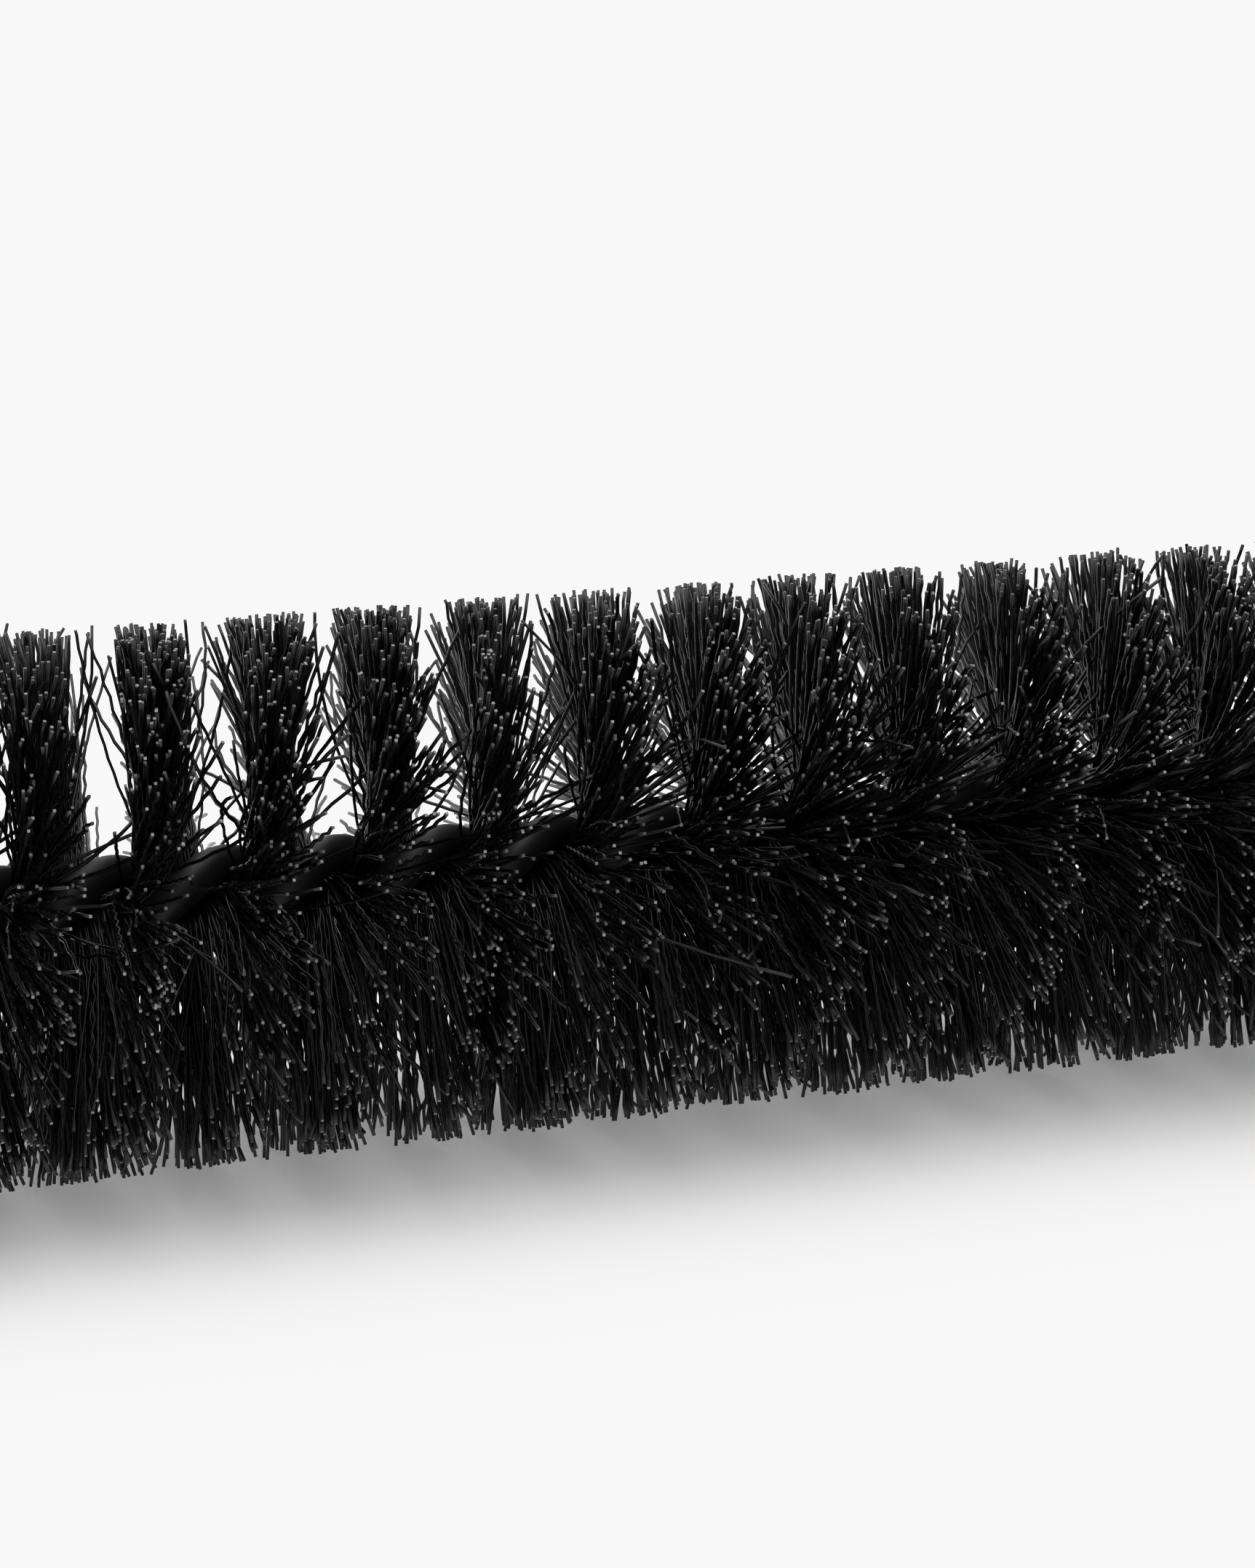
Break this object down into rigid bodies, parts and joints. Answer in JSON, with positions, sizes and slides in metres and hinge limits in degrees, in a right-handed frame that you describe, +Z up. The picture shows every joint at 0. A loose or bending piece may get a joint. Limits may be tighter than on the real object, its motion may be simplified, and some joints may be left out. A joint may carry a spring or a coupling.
{
  "type": "wheel brush",
  "caption": "Twisted-in-wire wheel brush: crimped filament head on a coated, bendable wire core, with a guarded soft-grip handle and hanging tab.",
  "frame": {"origin": "on the surface that the brush lies on, under the middle of its overall length and on its axis's vertical plane", "axes": "+X along the brush's axis from the hanging tab to the tip cap, +Z up with the brush lying on a flat of its hand guard and on its bristle tips, +Y across"},
  "size_m": [0.4066, 0.06, 0.054],
  "materials": {
    "filament": "glossy black crimped nylon filament with paler cut ends",
    "coating": "satin black polymer coating",
    "steel": "drawn galvanised wire",
    "rigid_plastic": "fine-textured moulded polypropylene",
    "soft_rubber": "matt thermoplastic rubber"
  },
  "bodies": {
    "handle": {"handle_core": "rigid_plastic", "grip_sleeve": "soft_rubber", "hand_guard": "soft_rubber", "neck_boot": "soft_rubber", "wire_crimp": "steel", "anchor_plug": "rigid_plastic", "end_cap": "rigid_plastic"},
    "head": {"bristle_row_01": "filament", "bristle_row_02": "filament", "bristle_row_03": "filament", "bristle_row_04": "filament", "bristle_row_05": "filament", "bristle_row_06": "filament", "bristle_row_07": "filament", "bristle_row_08": "filament", "bristle_row_09": "filament", "bristle_row_10": "filament", "bristle_row_11": "filament", "bristle_row_12": "filament", "bristle_row_13": "filament", "bristle_row_14": "filament", "bristle_row_15": "filament", "bristle_row_16": "filament", "bristle_row_17": "filament", "bristle_row_18": "filament", "tip_cap": "soft_rubber", "core_wire": "steel", "wire_coating": "coating"}
  },
  "joints": [
    {"name": "neck_bend", "type": "hinge", "parent": "handle", "child": "head", "pos_m": [-0.03027, 0, 0.027], "axis": [0, 0, 1], "range_deg": [-25, 25], "deforming": ["core_wire", "wire_coating"]}
  ]
}
